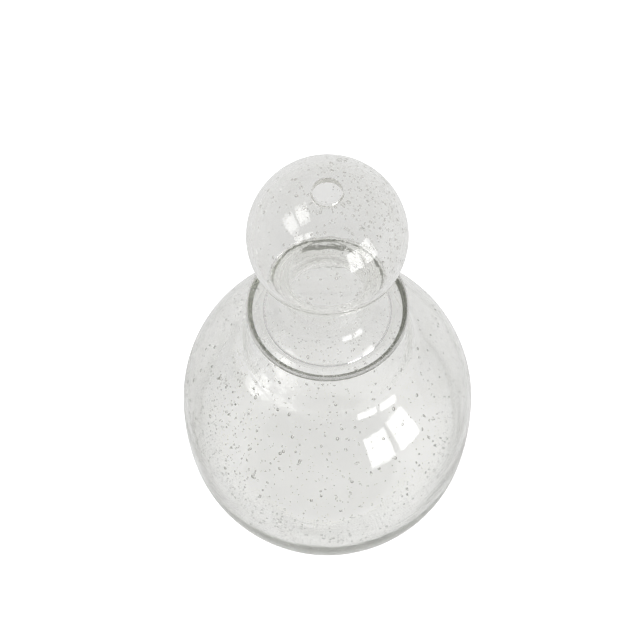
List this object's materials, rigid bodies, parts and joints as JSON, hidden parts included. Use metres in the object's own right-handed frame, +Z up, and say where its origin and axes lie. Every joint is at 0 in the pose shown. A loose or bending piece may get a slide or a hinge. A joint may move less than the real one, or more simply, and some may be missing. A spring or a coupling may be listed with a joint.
{
  "type": "lidded seeded-glass vessel",
  "caption": "Round-bodied vessel of clear bubble glass with a short neck, and a lift-off blown lid ending in a hollow ball with a hole in its crown.",
  "frame": {"origin": "on the vessel's axis, in the plane that its foot ring stands on", "axes": "+Z up along the common axis of vessel and lid"},
  "size_m": [0.2144, 0.2144, 0.386],
  "materials": {
    "vessel_glass": "clear seeded glass, fire-polished",
    "lid_glass": "clear seeded glass, fire-polished"
  },
  "bodies": {
    "vessel": {"vessel": "vessel_glass"},
    "lid": {"ball_lid": "lid_glass"}
  },
  "joints": [
    {"name": "lid_lift", "type": "slide", "parent": "vessel", "child": "lid", "axis": [0, 0, 1], "range_m": [0, 0.15]}
  ]
}
